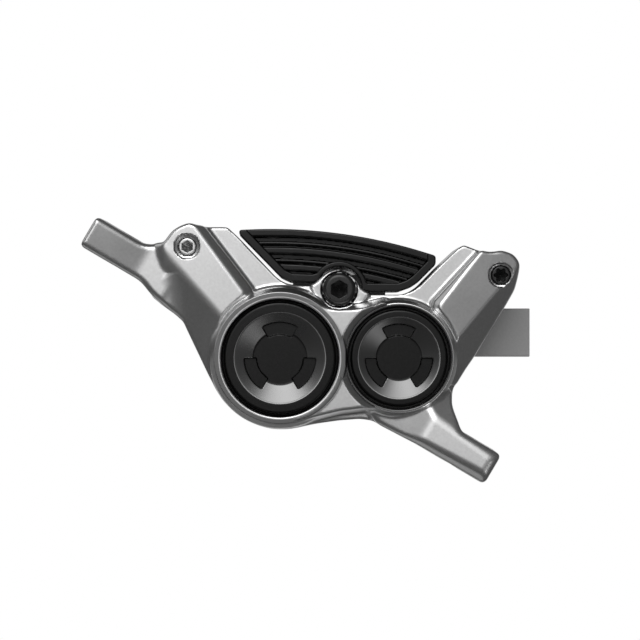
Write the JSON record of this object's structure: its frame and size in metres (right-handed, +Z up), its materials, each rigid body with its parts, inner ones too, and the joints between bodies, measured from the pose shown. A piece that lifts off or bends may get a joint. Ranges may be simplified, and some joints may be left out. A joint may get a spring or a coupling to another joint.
{
  "type": "bicycle disc brake caliper",
  "caption": "Silver post-mount hydraulic disc brake caliper with black bore caps, finned pads on an axle and a flat spacer between them; pistons and pads close on the rotor.",
  "frame": {"origin": "On the plane of the two mounting faces, in the rotor plane, midway between the mounting slots", "axes": "+Z up along the mounting bolts, away from the mount; +X along the line of the two ears; +Y across the rotor toward the wheel, so the pictured side looks toward -Y"},
  "size_m": [0.09, 0.036, 0.0533],
  "materials": {
    "body_silver": "satin polished, bright on its edges",
    "cap_black": "black anodised, satin",
    "seal_rubber": "matte",
    "piston_pale": "smooth ceramic-like",
    "plate_dark": "dark plated",
    "friction": null,
    "cooler_black": "gloss black over aluminium",
    "spring_steel": "bright spring sheet",
    "axle_black": "black coated steel",
    "screw_silver": "bright",
    "spacer_grey": "satin grey with bright edges"
  },
  "bodies": {
    "caliper": {"caliper_body": "body_silver", "bore_cap_large": "cap_black", "bore_cap_small": "cap_black", "cap_seal_large": "seal_rubber", "cap_seal_small": "seal_rubber", "piston_seal_large_outboard": "seal_rubber", "piston_seal_small_outboard": "seal_rubber", "piston_seal_large_inboard": "seal_rubber", "piston_seal_small_inboard": "seal_rubber", "pad_spring": "spring_steel", "pad_axle": "axle_black", "axle_clip": "spring_steel", "plug_screw": "screw_silver", "plug_seal": "seal_rubber", "bleed_screw": "axle_black", "bleed_seal": "seal_rubber"},
    "piston_large_out": {"piston_large_outboard": "piston_pale"},
    "piston_small_out": {"piston_small_outboard": "piston_pale"},
    "piston_large_in": {"piston_large_inboard": "piston_pale"},
    "piston_small_in": {"piston_small_inboard": "piston_pale"},
    "pad_outboard": {"pad_plate_outboard": "plate_dark", "friction_block_outboard": "friction", "pad_cooler_outboard": "cooler_black"},
    "pad_inboard": {"pad_plate_inboard": "plate_dark", "friction_block_inboard": "friction", "pad_cooler_inboard": "cooler_black"},
    "spacer": {"pad_spacer": "spacer_grey"}
  },
  "joints": [
    {"name": "pad_outboard_slide", "type": "slide", "parent": "caliper", "child": "pad_outboard", "axis": [0, 1, 0], "range_m": [0, 0.00042], "stiffness_N_per_m": 1500, "deforming": ["pad_spring"]},
    {"name": "pad_inboard_slide", "type": "slide", "parent": "caliper", "child": "pad_inboard", "axis": [0, -1, 0], "range_m": [0, 0.00042]},
    {"name": "piston_large_out_slide", "type": "slide", "parent": "caliper", "child": "piston_large_out", "axis": [0, 1, 0], "range_m": [0, 0.00042]},
    {"name": "piston_small_out_slide", "type": "slide", "parent": "caliper", "child": "piston_small_out", "axis": [0, 1, 0], "range_m": [0, 0.00042]},
    {"name": "piston_large_in_slide", "type": "slide", "parent": "caliper", "child": "piston_large_in", "axis": [0, -1, 0], "range_m": [0, 0.00042]},
    {"name": "piston_small_in_slide", "type": "slide", "parent": "caliper", "child": "piston_small_in", "axis": [0, -1, 0], "range_m": [0, 0.00042]},
    {"name": "spacer_pull", "type": "slide", "parent": "caliper", "child": "spacer", "axis": [0.8607, 0, 0.509], "range_m": [0, 0.055]}
  ],
  "couplings": [
    {"joint": "pad_inboard_slide", "follows": "pad_outboard_slide", "ratio": 1},
    {"joint": "piston_large_out_slide", "follows": "pad_outboard_slide", "ratio": 1},
    {"joint": "piston_small_out_slide", "follows": "pad_outboard_slide", "ratio": 1},
    {"joint": "piston_large_in_slide", "follows": "pad_outboard_slide", "ratio": 1},
    {"joint": "piston_small_in_slide", "follows": "pad_outboard_slide", "ratio": 1}
  ]
}
